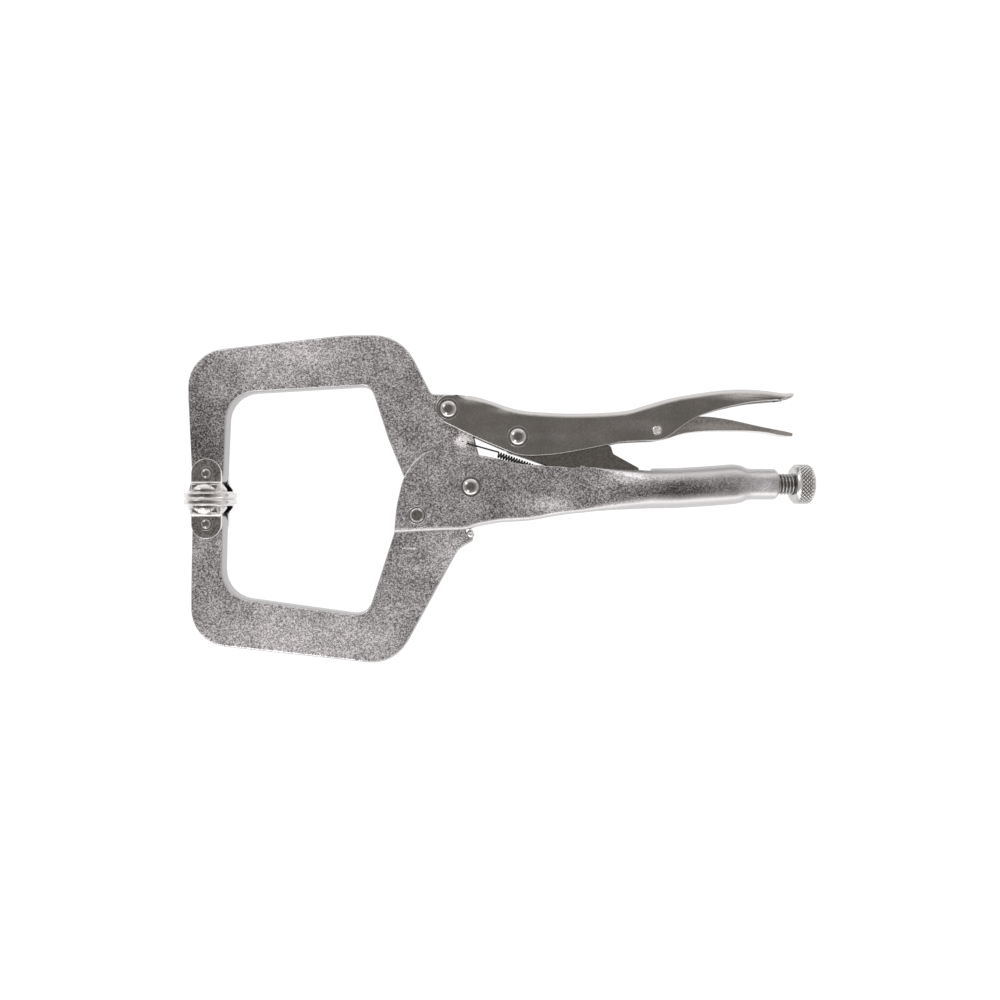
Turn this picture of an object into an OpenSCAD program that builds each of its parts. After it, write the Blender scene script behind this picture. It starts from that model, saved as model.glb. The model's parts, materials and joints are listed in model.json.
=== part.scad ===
// Locking C-clamp pliers with swivel pads.
// The tool lies on its side: X runs from the jaws to the adjusting knob, Y from the fixed
// handle to the lever, Z from the table through the thickness of the tool.
// Every piece is drawn about the jaw pivot, on the mid-plane of the tool, and place() sets it down.

/* [Jaws] */
// Thickness of the forged jaw arms
jaw_thick = 8.4; // [6:0.1:12]
// Thickness of the ground tangs between the handle cheeks
tang_thick = 8; // [5.6:0.1:11.6]
// Radius along the edges of the forged arms
jaw_edge = 1.3; // [0.4:0.1:2]
// Width of the arms at their tips
tip_w = 13.8; // [12:0.1:15]
// Height of the upper jaw's crown above the pivot
crown_h = 67.8; // [62:0.1:74]
// Depth of the lower jaw's crown below the pivot
sole_h = 79.6; // [74:0.1:86]
// How far the outside of the arms bulges ahead of the pads' pivots
arm_bulge = 8.5; // [7.5:0.1:12]

/* [Pressed handles] */
// Thickness of the sheet
sheet = 2.4; // [1.6:0.1:3]
// Free width between the cheeks
channel_w = 8.2; // [8.1:0.1:8.6]
// Outside corner radius along the folded back
fold_r = 3.4; // [2.6:0.1:4.2]
// Radius of the round grip tube
tube_r = 9; // [8:0.1:10.5]
// Radius of the tapped end of the tube
neck_r = 6.9; // [6.2:0.1:8]
// End of the tube behind the pivot
tube_end = 137.1; // [132:0.1:142]
// End of the lever behind the pivot
lever_end = 144.3; // [142:0.1:148]

/* [Linkage] */
// Lever pivot ahead of the jaw pivot
lever_dx = -9.9; // [-12:0.1:-8]
// Lever pivot above the jaw pivot
lever_dy = 34.5; // [32:0.1:37]
// Link pivot behind the jaw pivot
link_dx = 20.9; // [19:0.1:23]
// Link pivot above the jaw pivot
link_dy = 22.2; // [21:0.1:23.5]
// Rear nose of the link behind the jaw pivot
nose_dx = 72.5; // [70:0.1:74]
// Rear nose of the link above the jaw pivot
nose_dy = 0.8; // [-0.5:0.1:2]
// Thickness of the toggle link
link_thick = 7.4; // [4:0.1:7.8]
// Release lever pivot behind the jaw pivot
release_dx = 82.4; // [80:0.1:85]
// Release lever pivot above the jaw pivot
release_dy = 25; // [24:0.1:26]
// Width of the release lever
release_w = 7.6; // [5:0.1:7.8]
// Sheet of the release lever
release_sheet = 1.5; // [1:0.1:2]

/* [Rivets] */
// Shank radius of the three large rivets
rivet_r = 3; // [2.4:0.1:3.6]
// Head radius of the three large rivets
head_r = 4.25; // [4:0.05:5]
// Height of the domed heads
head_h = 1.7; // [1:0.1:2.2]
// Shank radius of the release lever's pin
release_pin_r = 2.1; // [1.5:0.1:2.6]
// Shank radius of the pad rivets
pad_rivet_r = 1.8; // [1.4:0.1:2.4]
// Head radius of the pad rivets
pad_head_r = 2.6; // [2.5:0.05:3.2]
// Running clearance round every shank
running = 0.05; // [0.02:0.01:0.1]

/* [Swivel pads] */
// Radius of the round clamping face
pad_r = 11.5; // [10:0.1:13]
// Thickness of the pad's rim
rim_t = 2.4; // [1.6:0.1:3]
// Pivot of a pad above its clamping face
pad_rise = 11; // [10.6:0.1:13]
// Thickness of a pad's ears
ear_t = 2.1; // [1.4:0.1:2.6]
// Radius of a pad's ears
ear_r = 6.7; // [6.2:0.1:7.4]
// Gap between the two closed pads
pad_gap = 0.3; // [0.2:0.05:1]
// Pads' pivots ahead of the jaw pivot
pad_reach = 117.3; // [112:0.1:122]
// Plane where the pads meet, below the jaw pivot
bite_drop = 5.3; // [4:0.1:7]

/* [Adjusting screw] */
// Radius over the thread
stem_r = 4.75; // [4:0.05:5.5]
// Radius of the plain nose
nose_r = 3.2; // [2.4:0.1:3.8]
// Height of the screw above the jaw pivot
screw_rise = 1.25; // [0.8:0.05:1.8]
// Radius of the knurled knob
knob_r = 8.85; // [7:0.05:10]
// Length of the knob
knob_l = 8.5; // [7:0.1:14]
// Thread left showing between the tube and the knob
thread_show = 7.2; // [4:0.1:16]

/* [Spring] */
// Wire diameter
wire_d = 1; // [0.7:0.1:1.2]
// Outside radius of the coil
coil_r = 2; // [1.5:0.1:2.2]

/* [Hidden] */
$fn = 48;

through = 40;
lever_pivot = [lever_dx, lever_dy];
link_pivot = [link_dx, link_dy];
release_pivot = [release_dx, release_dy];
cheek_w = channel_w + 2 * sheet;
bite_y = -bite_drop;
arm_reach = pad_reach + arm_bulge;
upper_pad_pivot = [-pad_reach, bite_y + pad_gap / 2 + pad_rise];
lower_pad_pivot = [-pad_reach, bite_y - pad_gap / 2 - pad_rise];
tip_r = tip_w / 2;
tip_thick = tang_thick - 0.2;
ear_gap = tip_thick + 0.3;
ear_w = ear_gap + 2 * ear_t;
knob_x = tube_end + thread_show;
knob_end = knob_x + knob_l;

// ---- outlines -------------------------------------------------------------------------------

function unit(v) = v / norm(v);

// Points of the arc that rounds corner b between a and c
function corner(a, b, c, r) =
    r == 0 ? [b] :
    let (u = unit(a - b), v = unit(c - b))
    let (half = acos(u * v) / 2, centre = b + unit(u + v) * r / sin(half))
    let (start = b + u * r / tan(half) - centre)
    let (turn = sign(cross(b - a, c - b)) * (180 - 2 * half), steps = max(2, ceil(abs(turn) / 12)))
    let (first = atan2(start.y, start.x))
    [for (k = [0:steps]) centre + r * [cos(first + turn * k / steps), sin(first + turn * k / steps)]];

// Closed outline through corners given as [x, y, radius]
function rounded(p) =
    let (n = len(p), q = [for (v = p) [v.x, v.y]])
    [for (i = [0:n - 1]) each corner(q[(i + n - 1) % n], q[i], q[(i + 1) % n], p[i][2])];

// Smooth curve that passes through every point of p
function spline(p, steps = 4) =
    let (last = len(p) - 1)
    [for (i = [0:last - 1]) for (k = [0:steps - 1])
        let (a = p[max(i - 1, 0)], b = p[i], c = p[i + 1], d = p[min(i + 2, last)], t = k / steps)
        b + (c - a) * t / 2 + (2 * a - 5 * b + 4 * c - d) * t * t / 2
            + (3 * b - a - 3 * c + d) * t * t * t / 2,
     p[last]];

function arc(centre, r, from, to, steps) =
    [for (k = [0:steps]) centre + r * [cos(from + (to - from) * k / steps),
                                       sin(from + (to - from) * k / steps)]];

function raised(p, dy) = [for (v = p) [v.x, v.y + dy]];
function backwards(p) = [for (i = [len(p) - 1:-1:0]) p[i]];

// ---- side profiles ---------------------------------------------------------------------------

// Upper jaw: tip, inside of the C, tang round the jaw pivot, lobe round the lever pivot, crown
moving_jaw_outline = rounded([
    [-pad_reach - tip_r, upper_pad_pivot.y - tip_r, tip_r - 0.05],
    [-pad_reach + tip_r, upper_pad_pivot.y - tip_r, tip_r - 0.05],
    [17.2 - arm_reach, crown_h - 26.2, 13],
    [-44.7, crown_h - 22.5, 6],
    [-37, 21.5, 30],
    [-29.2, 2.5, 4],
    [-17.6, -8, 4],
    [8, -8, 7.9],
    [8, 4.5, 6],
    [3.4, 14.5, 6],
    [lever_dx + 6.3, lever_dy + 6.5, 6],
    [-17.8, lever_dy + 6.8, 3],
    [-31, crown_h, 20],
    [-57, crown_h - 0.2, 60],
    [-arm_reach - 0.7, crown_h - 8, 17],
    [-arm_reach - 0.4, crown_h - 28, 60]]);

// Lower jaw: tip, outside of the C, heel under the handle, tang round the rivet, inside
fixed_jaw_outline = rounded([
    [-pad_reach + tip_r, lower_pad_pivot.y + tip_r, tip_r - 0.05],
    [-pad_reach - tip_r, lower_pad_pivot.y + tip_r, tip_r - 0.05],
    [0.9 - arm_reach, 34.6 - sole_h, 60],
    [0.8 - arm_reach, 9.9 - sole_h, 17],
    [-34, -sole_h, 18],
    [-5.6, -27.6, 10],
    [0.8, -24.2, 1.2],
    [0.8, -21.6, 0.8],
    [-2.4, -20.4, 0.5],
    [-2.4, -9, 2],
    [-17.8, -9, 3],
    [-31.6, -5.5, 3],
    [-34.2, -20, 20],
    [-46.3, 21.9 - sole_h, 8],
    [14.6 - arm_reach, 30.9 - sole_h, 13.5]]);

crown_y = max([for (p = moving_jaw_outline) p.y]);
sole_y = min([for (p = fixed_jaw_outline) p.y]);
centre_x = (knob_end - pad_reach - pad_r) / 2;
centre_y = (crown_y + sole_y) / 2;

// Folded back and open edge of the fixed handle
handle_back = spline([[-38, -21.1], [-15, -19.9], [-2.5, -19.4], [2.5, -17.8], [13, -15.9],
    [26, -15], [40, -12.6], [52, -11.3], [63, -10.4], [80, screw_rise - 1.9 - tube_r]]);
handle_rim = spline([[-38, 18.8], [-16, 16.6], [-2, 14.9], [11, 12.6], [22, 10.3], [40, 9],
    [62, 8.3], [80, screw_rise - 1.9 + tube_r]]);

// Point of the lever's tapering tail, at a share of the way from its start to the lever's end
tail_x = 88;
function tail(share, y) = [tail_x + share * (lever_end - tail_x), y];

// Folded back of the lever
lever_back = spline([[-20, 41.2], [-2, 40.8], [7, 38.8], [17, 35.4], [24, 33.9], [34, 33.1],
    [46, 32.7], [60, 33.1], [70, 34.1], [77, 36.1], tail(0, 39.3), tail(0.178, 41.2), tail(0.391, 42.9),
    tail(0.586, 43.5), tail(0.764, 42.9), [lever_end - 5, 41.8], tail(1, 42.3)]);

// Open edge of the lever's cheeks, from the nose to the tail
lever_edge = spline([[-12.5, 28.9], [1.4, 22.2], [15.8, 16], [20.5, 14.3], [25.3, 13.7],
    [31, 13.9], [40, 14.7], [61.6, 18.7], [67, 19.8], [77.5, 20.4], [83.6, 20.7], tail(0, 22.6),
    tail(0.112, 27.3), tail(0.234, 31.3), tail(0.355, 33.7), tail(0.48, 35.6), tail(0.657, 37.5),
    tail(0.87, 38.6), [lever_end - 2, 39.6], tail(1, 41.2)], 3);

// ---- shared solids ---------------------------------------------------------------------------

module place() {
    translate([-centre_x, -centre_y, pad_r]) children();
}

module plate(outline, thick) {
    linear_extrude(thick, center = true) polygon(outline);
}

// Forged bar of the given outline, with a radius along its edges
module forging(outline) {
    edge_fn = 12;
    minkowski() {
        linear_extrude(jaw_thick - 2 * jaw_edge, center = true) offset(delta = -jaw_edge) polygon(outline);
        scale(1 / cos(180 / edge_fn)) sphere(jaw_edge, $fn = edge_fn);
    }
}

// Cross-section of a handle at x: bottom, top, half width and the radii of its corners
function section(x, low, high, half, low_r, high_r) =
    [for (q = [[1, 1, 0], [-1, 1, 90], [-1, -1, 180], [1, -1, 270]])
        let (r = q.x > 0 ? high_r : low_r, y = q.x > 0 ? high - r : low + r, z = q.y * (half - r))
        for (k = [0:6]) [x, y + r * cos(q[2] + k * 15), z + r * sin(q[2] + k * 15)]];

// Solid through rings of points that have equal counts
module skin(rings) {
    n = len(rings[0]);
    last = len(rings) - 1;
    polyhedron([for (ring = rings) each ring], concat(
        [[for (j = [0:n - 1]) j]],
        [for (i = [0:last - 1]) for (j = [0:n - 1])
            [i * n + j, (i + 1) * n + j, (i + 1) * n + (j + 1) % n, i * n + (j + 1) % n]],
        [[for (j = [n - 1:-1:0]) last * n + j]]), convexity = 10);
}

module bore(at, r) {
    translate([at.x, at.y, 0]) cylinder(h = through, r = r, center = true);
}

// Rivet through the thickness, with a dome of head_radius on each side
module rivet(at, shank, head_radius, height, grip) {
    dome = (head_radius * head_radius + height * height) / (2 * height);
    translate([at.x, at.y, 0]) {
        cylinder(h = grip, r = shank, center = true);
        for (side = [0, 1]) mirror([0, 0, side]) translate([0, 0, grip / 2])
            intersection() {
                translate([0, 0, height - dome]) sphere(dome);
                cylinder(h = height, r = head_radius);
            }
    }
}

// Removes everything of a forging that stands proud of the given thickness inside a zone
module grind(zone, thick) {
    for (side = [0, 1]) mirror([0, 0, side]) translate([0, 0, thick / 2])
        linear_extrude(jaw_thick) polygon(zone);
}

function box_zone(x0, x1, y0, y1) = [[x0, y0], [x1, y0], [x1, y1], [x0, y1]];

// Places a solid that was turned about Z along the axis of the adjusting screw
module on_screw(x) {
    translate([x, screw_rise, 0]) rotate([0, 90, 0]) children();
}

// ---- fixed handle ----------------------------------------------------------------------------

jaw_rivet_at = [-23.8, -12.6];
bead_at = [-0.3, -21.1];
bead_r = 1.9;
web_x = -1.5;
slot_x = 72;
slot_end = 80.9;
slot_r = 1.5;
tube_x = 80;
tube_drop = 1.9;
cheek_front = spline([[-16, 16.6], [-20.7, 14.9], [-24.4, 11.8], [-27.4, 8.2], [-30.2, 3], [-31.9, -3.7],
    [-33.1, -9.9], [-34.2, -22]], 3);
tab_at = [50, 0.8];
tab_t = 1.6;
tab_w = 5.2;

// Radius of the tube and height of its centre over the screw, from the end of the slot to the tail
tube_rings = [[tube_x, -tube_drop, tube_r], [92, -1.75, tube_r], [106, -0.9, tube_r],
    [tube_end - 20, -0.05, tube_r], [tube_end - 17.7, 0, tube_r - 0.25],
    [tube_end - 15.7, 0, (2 * tube_r + neck_r) / 3], [tube_end - 13.5, 0, neck_r + 0.3],
    [tube_end - 11.5, 0, neck_r], [tube_end - 1.6, 0, neck_r], [tube_end - 0.9, 0, neck_r - 0.2],
    [tube_end - 0.3, 0, neck_r - 0.7], [tube_end, 0, neck_r - 1.4]];

function tube_section(t, inset) =
    section(t.x, screw_rise + t.y - t[2] + inset, screw_rise + t.y + t[2] - inset, t[2] - inset,
        t[2] - inset - 0.02, t[2] - inset - 0.02);

// Section of the folded channel, which closes into the tube towards tube_x
function channel_section(x, low, inset) =
    let (high = lookup(x, handle_rim) + lookup(x, [[50, 0.3], [60, 0]]) - inset)
    let (half = lookup(x, [[50, cheek_w / 2], [58, cheek_w / 2 + 0.5], [tube_x, tube_r]]) - inset)
    let (limit = min(half, (high - low - inset) / 2) - 0.02)
    section(x, low + inset, high, half, min(limit, lookup(x, [[50, fold_r], [tube_x, tube_r]])),
        min(limit, lookup(x, [[54, 0.3], [tube_x, tube_r]])));

// Free space between the cheeks: open in front of the web and along the rim as far as the slot
channel_outline = concat([[-45, 30], [-45, -30], [web_x, -30]],
    [for (p = handle_back) if (p.x > web_x && p.x < slot_x) [p.x, p.y + sheet]],
    [[slot_x, screw_rise - tube_drop - tube_r + sheet], [slot_x, 30]]);

module fixed_handle() {
    color("#b4b4b8") place() difference() {
        union() {
            difference() {
                intersection() {
                    skin(concat([for (p = handle_back) if (p.x < tube_x - 0.5) channel_section(p.x, p.y, 0)],
                        [for (t = tube_rings) tube_section(t, 0)]));
                    plate(concat(
                        [[150, -30], [150, 30], [60, 30]],
                        backwards([for (p = handle_rim) if (p.x > -15.5 && p.x < 60)
                            [p.x, p.y + lookup(p.x, [[50, 0], [60, 0.3]])]]),
                        cheek_front, [[-34.2, -30]]), through);
                }
                plate(channel_outline, channel_w);
                translate([0, screw_rise, 0]) rotate([-90, 0, 0]) linear_extrude(through)
                    polygon(rounded([[slot_x - 1, -channel_w / 2, 0], [slot_end, -channel_w / 2, slot_r],
                        [slot_end, channel_w / 2, slot_r], [slot_x - 1, channel_w / 2, 0]]));
                skin(concat(
                    [for (p = handle_back) if (p.x > 60 && p.x < tube_x - 0.5) channel_section(p.x, p.y, sheet)],
                    [for (t = tube_rings) if (t.x < tube_end - 19) tube_section(t, sheet)]));
                on_screw(tube_end - 28) cylinder(h = through, r = stem_r + running);
                for (at = [[0, 0], jaw_rivet_at]) bore(at, rivet_r + running);
            }
            translate([tab_at.x - tab_t / 2, lookup(tab_at.x, handle_back) + sheet / 2, -tab_w / 2])
                cube([tab_t, tab_at.y + 2.1 - lookup(tab_at.x, handle_back) - sheet / 2, tab_w]);
            for (side = [-1, 1]) translate([49.5, lookup(49.5, handle_rim) - 0.4, side * (channel_w + sheet) / 2])
                cylinder(h = sheet, r = 1.3, center = true);
        }
        translate([tab_at.x + tab_t / 2, -through, -tab_w / 2])
            cube([9, through + lookup(tab_at.x, handle_back) + sheet + 0.3, tab_w]);
        translate([tab_at.x, tab_at.y, 0]) rotate([0, 90, 0])
            cylinder(h = 2 * tab_t, r = wire_d / 2 + 0.35, center = true);
        bead(0);
    }
}

// Weld bead between the heel of the jaw and the front of the web
module bead(gap) {
    translate([bead_at.x, bead_at.y, 0]) {
        cylinder(h = tang_thick - 2, r = bead_r - gap, center = true);
        for (side = [-1, 1]) translate([0, 0, side * (tang_thick / 2 - 1)])
            sphere(bead_r - gap);
    }
}

module weld_beads() {
    color("#c8c8cc") place() bead(0.01);
}

module fixed_jaw_rivet() {
    grip = cheek_w / 2;
    color("#d8d8dc") place() translate([jaw_rivet_at.x, jaw_rivet_at.y, 0]) {
        cylinder(h = cheek_w, r = rivet_r, center = true);
        for (side = [0, 1]) mirror([0, 0, side]) translate([0, 0, grip]) rotate_extrude()
            polygon([[0, 0], [head_r, 0], [head_r, 0.35], [head_r - 0.4, 0.85], [head_r - 0.9, 0.95],
                [head_r - 1.3, 0.7], [rivet_r - 0.4, 0.25], [0, 0.15]]);
    }
}

module jaw_pivot_rivet() {
    color("#dcdce0") place() rivet([0, 0], rivet_r, head_r, head_h, cheek_w);
}

// ---- jaws ------------------------------------------------------------------------------------

spring_hook = [-3.6, 20.2];
spring_run = tab_at - spring_hook;
spring_angle = atan2(spring_run.y, spring_run.x);

module fixed_jaw() {
    tip = lower_pad_pivot;
    color("#9a9a9e") place() difference() {
        forging(fixed_jaw_outline);
        grind(box_zone(-45, 10, -22.8, 0), tang_thick);
        grind(box_zone(tip.x - 12, tip.x + 12, tip.y - 7.7, tip.y + 12), tip_thick);
        bore(jaw_rivet_at, rivet_r + running);
        bore(tip, pad_rivet_r + running);
        bead(0);
    }
}

module moving_jaw() {
    tip = upper_pad_pivot;
    color("#9a9a9e") place() difference() {
        forging(moving_jaw_outline);
        grind([[-37, -12], [20, -12], [20, 46], [-20, 46], [-20, 20], [-37, 20]], tang_thick);
        grind(box_zone(tip.x - 12, tip.x + 12, tip.y - 12, tip.y + 7.7), tip_thick);
        bore([0, 0], rivet_r + running);
        bore(lever_pivot, rivet_r + running);
        bore(tip, pad_rivet_r + running);
        bore(spring_hook, wire_d / 2 + 0.3);
        translate([spring_hook.x, spring_hook.y, -wire_d / 2 - 0.3]) rotate(spring_angle)
            translate([-wire_d, -wire_d, 0]) cube([14, 2 * wire_d, jaw_thick]);
    }
}

// ---- lever and toggle ------------------------------------------------------------------------

nose_lobe_at = lever_pivot + [0.2, 0.3];
nose_lobe_r = 6;
lever_web_x = lever_pivot.x + 8.2;

module lever_handle() {
    side = concat(arc(nose_lobe_at, nose_lobe_r, 90, 245, 14), lever_edge,
        [[lever_end + 1, 60], [1, 60], [1, nose_lobe_at.y + nose_lobe_r]]);
    inside = concat([[-30, 60], [-30, -10], [lever_end + 5, -10], [lever_end + 5, 42.3 - sheet]],
        backwards([for (p = lever_back) if (p.x > lever_web_x) [p.x, p.y - sheet]]),
        [[lever_web_x, nose_lobe_at.y + nose_lobe_r - sheet], [lever_web_x, 60]]);
    color("#77736f") place() difference() {
        intersection() {
            skin([for (p = lever_back) section(p.x, 5, p.y,
                lookup(p.x, [[lever_end - 6, cheek_w / 2], [lever_end - 2, cheek_w / 2 - 1], [lever_end, cheek_w / 2 - 2.6]]),
                0.3, lookup(p.x, [[lever_web_x - 5, 0.3], [lever_web_x - 0.3, fold_r]]))]);
            plate(side, through);
        }
        plate(inside, channel_w);
        for (at = [lever_pivot, link_pivot]) bore(at, rivet_r + running);
        bore(release_pivot, release_pin_r + running);
    }
}

module lever_pivot_rivet() {
    color("#dcdce0") place() rivet(lever_pivot, rivet_r, head_r, head_h, cheek_w + 2 * running);
}

module link_pivot_rivet() {
    color("#dcdce0") place() rivet(link_pivot, rivet_r, head_r, head_h, cheek_w + 2 * running);
}

// Plate from the lever to the screw, with a round nose and a hump for the release lever
module toggle_link() {
    lobe = 8.2;
    nose = 3.8;
    outline = concat(arc(link_pivot, lobe, 68, 250, 14), rounded([
        [link_pivot.x - 2.4, link_pivot.y - lobe + 0.6, 0],
        [51, 3.7, 20],
        [nose_dx - 8, nose_dy - nose + 0.6, 8],
        [nose_dx + nose, nose_dy - nose, nose - 0.05],
        [nose_dx + nose, nose_dy + nose, nose - 0.2],
        [nose_dx + 0.9, nose_dy + nose + 0.6, 0.8],
        [nose_dx + 2.9, nose_dy + 7.3, 1.2],
        [63.4, 14.7, 2],
        [62.3, 18.4, 1.5],
        [54, 18.8, 6],
        [link_pivot.x + 3.4, link_pivot.y + lobe - 0.6, 0]]));
    color("#5f5b57") place() difference() {
        plate(outline, link_thick);
        bore(link_pivot, rivet_r + running);
    }
}

// Pressed channel with its web downwards, pivoted inside the lever
module release_lever() {
    release_end = lever_end - 0.9;
    function along(share, y) = [release_dx + share * (release_end - release_dx), y];
    web = spline([[release_dx - 21.9, 21.2], [release_dx - 12.4, 21.4], [release_dx - 4.4, 20.9],
        along(0.026, 20.8), along(0.095, 21.7), along(0.205, 23.8), along(0.37, 24.9), along(0.584, 25),
        along(0.708, 24.8), along(0.818, 24.1), along(0.911, 22.9), along(1, 22.5)], 3);
    rim = spline([along(1, 24), along(0.934, 25), along(0.818, 26.3), along(0.708, 27.7), along(0.562, 29.7),
        along(0.431, 31), along(0.318, 31.4), along(0.19, 31.2), along(0.059, 30), [release_dx - 4.4, 28.4],
        [release_dx - 14.4, 25.8], [release_dx - 21.9, 24.2]], 3);
    color("#6b6763") place() difference() {
        plate(concat(web, rim), release_w);
        plate(concat(raised(web, release_sheet), [[release_end + 5, 24.1], [release_end + 5, 60], [50, 60], [50, 22.7]]),
            release_w - 2 * release_sheet);
        bore(release_pivot, release_pin_r + running);
    }
}

module release_pin() {
    color("#dcdce0") place()
        rivet(release_pivot, release_pin_r, release_pin_r, 0.4, cheek_w + 2 * running);
}

// ---- spring ----------------------------------------------------------------------------------

// Close-wound coil with a straight leg at each end, hooked into the jaw and into the handle's tab
module jaw_spring() {
    length = norm(spring_run);
    coil_start = 17;
    coil_end = length - 5;
    pitch = 0.9 * wire_d;
    turns = floor((coil_end - coil_start) / pitch);
    color("#4a4744") place() translate([spring_hook.x, spring_hook.y, 0]) rotate(spring_angle) {
        translate([coil_start, 0, 0]) rotate([0, 90, 0]) rotate_extrude()
            for (i = [0:turns]) translate([coil_r - wire_d / 2, i * pitch]) circle(wire_d / 2, $fn = 24);
        rotate([0, 90, 0]) cylinder(h = coil_start, r = wire_d / 2);
        sphere(wire_d / 2);
        translate([0, 0, -tang_thick / 2 + 0.5]) cylinder(h = tang_thick / 2 - 0.5, r = wire_d / 2);
        for (x = [coil_start, coil_start + turns * pitch]) translate([x, 0, 0]) {
            sphere(wire_d / 2);
            rotate([-90, 0, 0]) cylinder(h = coil_r - wire_d / 2, r = wire_d / 2);
        }
        translate([coil_start + turns * pitch, 0, 0]) rotate([0, 90, 0])
            cylinder(h = length + 1.6 - coil_start - turns * pitch, r = wire_d / 2);
        translate([length + 1.6, 0, 0]) {
            sphere(wire_d / 2);
            translate([0, 0, -2]) cylinder(h = 2, r = wire_d / 2);
        }
    }
}

// ---- adjusting screw -------------------------------------------------------------------------

nose_gap = 2.9;
stem_x = nose_dx + 3.8 + nose_gap;
stem_seat = 5.2;

module adjusting_screw() {
    shoulder = 12.5;
    length = knob_x + stem_seat - stem_x;
    color("#c4c4c8") place() on_screw(stem_x) rotate_extrude()
        polygon([[0, 0], [nose_r - 0.8, 0], [nose_r, 0.8], [nose_r, shoulder], [stem_r, shoulder + 1.5],
            [stem_r, length - 0.05], [0, length - 0.05]]);
}

module screw_knob() {
    edge = 1.8;
    color("#b8b8bc") place() on_screw(knob_x) rotate_extrude()
        polygon(concat([[0, stem_seat], [stem_r + running, stem_seat], [stem_r + running, 0], [knob_r - 1.2, 0],
            [knob_r - 0.4, 0.4], [knob_r, 1.4]],
            arc([knob_r - edge, knob_l - edge], edge, 0, 90, 6), [[0, knob_l]]));
}

// ---- swivel pads -----------------------------------------------------------------------------

// Turned pad with its face at y = 0 and its flat ears upwards, each on a foot of the ear's width
module pad() {
    ear_flat = pad_rise - pad_head_r - 0.15;
    blend_r = 1.9;
    ear_foot = ear_flat - blend_r;
    neck_h = ear_foot - rim_t;
    collar_r = pad_r - 1.7;
    foot_r = min(ear_r + 1.3, collar_r - 1);
    foot_side = concat([[ear_w / 2 + blend_r + 0.8, rim_t - 0.1]],
        arc([ear_w / 2 + blend_r, ear_flat], blend_r, 270, 180, 8));
    slot_floor = pad_rise - tip_r - 1.3;
    difference() {
        union() {
            rotate([-90, 0, 0]) rotate_extrude()
                polygon([[0, 0], [pad_r - 0.5, 0], [pad_r, 0.5], [pad_r, rim_t - 0.3], [pad_r - 0.3, rim_t],
                    [collar_r + 0.1, rim_t + 0.05 * neck_h], [collar_r, rim_t + 0.4 * neck_h],
                    [(collar_r + foot_r) / 2, rim_t + 0.75 * neck_h], [foot_r, ear_foot], [0, ear_foot]]);
            intersection() {
                rotate([0, 90, 0]) linear_extrude(2 * ear_r, center = true)
                    polygon(concat(foot_side, [for (p = backwards(foot_side)) [-p.x, p.y]]));
                rotate([-90, 0, 0]) cylinder(h = ear_flat, r = collar_r);
            }
            linear_extrude(ear_w, center = true) {
                translate([0, pad_rise]) circle(ear_r);
                translate([-ear_r, rim_t]) square([2 * ear_r, pad_rise - rim_t]);
            }
        }
        translate([-pad_r, slot_floor, -ear_gap / 2]) cube([2 * pad_r, through, ear_gap]);
        translate([0, pad_rise, 0]) cylinder(h = through, r = pad_rivet_r + running, center = true);
    }
}

module upper_pad() {
    color("#a6a6aa") place() translate([upper_pad_pivot.x, bite_y + pad_gap / 2, 0]) pad();
}

module lower_pad() {
    color("#a6a6aa") place() translate([lower_pad_pivot.x, bite_y - pad_gap / 2, 0]) mirror([0, 1, 0]) pad();
}

module upper_pad_rivet() {
    color("#dcdce0") place() rivet(upper_pad_pivot, pad_rivet_r, pad_head_r, 0.9, ear_w + 2 * running);
}

module lower_pad_rivet() {
    color("#dcdce0") place() rivet(lower_pad_pivot, pad_rivet_r, pad_head_r, 0.9, ear_w + 2 * running);
}

fixed_handle();
fixed_jaw();
fixed_jaw_rivet();
weld_beads();
jaw_pivot_rivet();
moving_jaw();
lever_handle();
lever_pivot_rivet();
toggle_link();
link_pivot_rivet();
release_lever();
release_pin();
jaw_spring();
adjusting_screw();
screw_knob();
upper_pad();
upper_pad_rivet();
lower_pad();
lower_pad_rivet();
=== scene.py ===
import json
import math

import bmesh
import bpy
import numpy as np
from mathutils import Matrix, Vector


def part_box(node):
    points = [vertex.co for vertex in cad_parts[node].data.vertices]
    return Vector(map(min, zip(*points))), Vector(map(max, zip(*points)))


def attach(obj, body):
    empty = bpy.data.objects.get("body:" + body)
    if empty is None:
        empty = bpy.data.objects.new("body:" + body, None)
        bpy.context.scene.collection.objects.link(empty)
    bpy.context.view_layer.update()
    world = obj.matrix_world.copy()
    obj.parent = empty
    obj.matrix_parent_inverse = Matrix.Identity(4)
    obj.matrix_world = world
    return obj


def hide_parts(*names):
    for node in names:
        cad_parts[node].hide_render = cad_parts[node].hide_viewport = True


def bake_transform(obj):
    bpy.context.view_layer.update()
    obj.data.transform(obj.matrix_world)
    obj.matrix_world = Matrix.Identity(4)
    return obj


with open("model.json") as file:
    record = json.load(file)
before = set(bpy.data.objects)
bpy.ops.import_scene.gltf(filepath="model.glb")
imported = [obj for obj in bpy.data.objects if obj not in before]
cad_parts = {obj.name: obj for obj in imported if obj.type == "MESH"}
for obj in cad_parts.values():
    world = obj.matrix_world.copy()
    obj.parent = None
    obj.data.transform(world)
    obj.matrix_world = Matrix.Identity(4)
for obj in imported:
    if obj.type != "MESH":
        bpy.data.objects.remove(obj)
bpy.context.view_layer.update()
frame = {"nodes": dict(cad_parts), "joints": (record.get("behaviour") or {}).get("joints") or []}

# ---- forged jaws ------------------------------------------------------------------------------
# Two drop-forged steel C-arms, shot-blasted and nickel plated, which leaves a fine sparkling
# grain. The upper one turns on the jaw pivot, the lower one is riveted and welded to the handle.

mm = 0.001
jaw_pivot = next(np.array(j["pos_m"]) / mm for j in frame["joints"] if j["name"] == "jaw_pivot")


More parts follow.
